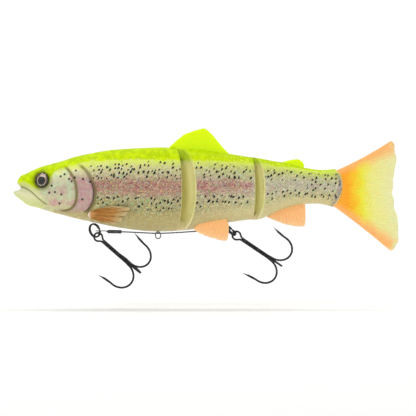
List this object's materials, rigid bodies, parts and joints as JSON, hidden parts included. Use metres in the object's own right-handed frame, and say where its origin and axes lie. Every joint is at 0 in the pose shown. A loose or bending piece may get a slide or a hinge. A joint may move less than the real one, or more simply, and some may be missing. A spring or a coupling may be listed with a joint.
{
  "type": "swimbait",
  "caption": "Three-section soft trout swimbait with a line-through bore, stinger wire, split rings and treble hooks.",
  "frame": {"origin": "mouth of the line bore in the fish's nose, on the bore's axis", "axes": "+X from head to tail, +Y to the fish's right, +Z towards its back"},
  "size_m": [0.2004, 0.0299, 0.0829],
  "materials": {
    "soft_body": "painted soft plastic, glossy",
    "tail_fin": "tinted soft plastic, glossy",
    "chartreuse_fin": "tinted soft plastic, glossy",
    "orange_fin": "tinted soft plastic, glossy",
    "brown_fin": "tinted soft plastic, glossy",
    "eye_print": "printed foil",
    "eye_resin": "clear cast resin",
    "tube": "translucent tube",
    "net": "woven net",
    "lead": "cast lead",
    "wire": "drawn wire",
    "sleeve": "blackened metal",
    "black_nickel": "black nickel plate"
  },
  "bodies": {
    "front_section": {"front_body": "soft_body", "left_pectoral_fin": "brown_fin", "right_pectoral_fin": "brown_fin", "left_eye": "eye_print", "right_eye": "eye_print", "left_eye_dome": "eye_resin", "right_eye_dome": "eye_resin", "line_tube": "tube", "front_hinge_net": "net", "front_keel_weight": "lead", "front_belly_pin": "wire", "stinger_wire": "wire", "front_crimp_sleeve": "sleeve"},
    "middle_section": {"middle_body": "soft_body", "dorsal_fin": "chartreuse_fin", "left_pelvic_fin": "orange_fin", "right_pelvic_fin": "orange_fin", "rear_hinge_net": "net", "middle_keel_weight": "lead", "rear_belly_pin": "wire", "rear_crimp_sleeve": "sleeve"},
    "tail_section": {"tail_body": "soft_body", "adipose_fin": "chartreuse_fin", "anal_fin": "orange_fin", "tail_net": "net"},
    "tail_fin": {"caudal_fin": "tail_fin"},
    "front_ring": {"front_split_ring": "black_nickel"},
    "front_hook": {"front_treble": "black_nickel"},
    "rear_ring": {"rear_split_ring": "black_nickel"},
    "rear_hook": {"rear_treble": "black_nickel"}
  },
  "joints": [
    {"name": "front_body_hinge", "type": "hinge", "parent": "front_section", "child": "middle_section", "pos_m": [0.0825, 0, 0], "axis": [0, 0, 1], "range_deg": [-25, 25], "deforming": ["front_hinge_net", "stinger_wire"]},
    {"name": "rear_body_hinge", "type": "hinge", "parent": "middle_section", "child": "tail_section", "pos_m": [0.1216, 0, 0], "axis": [0, 0, 1], "range_deg": [-25, 25], "deforming": ["rear_hinge_net"]},
    {"name": "tail_fin_flex", "type": "hinge", "parent": "tail_section", "child": "tail_fin", "pos_m": [0.165, 0, 0], "axis": [0, 0, 1], "range_deg": [-20, 20], "stiffness_Nm_per_rad": 0.002, "deforming": ["tail_net"]},
    {"name": "front_ring_sway", "type": "hinge", "parent": "front_section", "child": "front_ring", "pos_m": [0.0411, 0.0023, -0.0217], "axis": [1, 0, 0], "range_deg": [-15, 15]},
    {"name": "front_hook_swing", "type": "hinge", "parent": "front_ring", "child": "front_hook", "pos_m": [0.0402, 0, -0.0243], "axis": [0, 1, 0], "range_deg": [0, 60]},
    {"name": "rear_ring_sway", "type": "hinge", "parent": "middle_section", "child": "rear_ring", "pos_m": [0.1069, 0, -0.0187], "axis": [1, 0, 0], "range_deg": [-15, 15]},
    {"name": "rear_hook_swing", "type": "hinge", "parent": "rear_ring", "child": "rear_hook", "pos_m": [0.1121, 0, -0.0233], "axis": [0, 1, 0], "range_deg": [0, 60]}
  ]
}
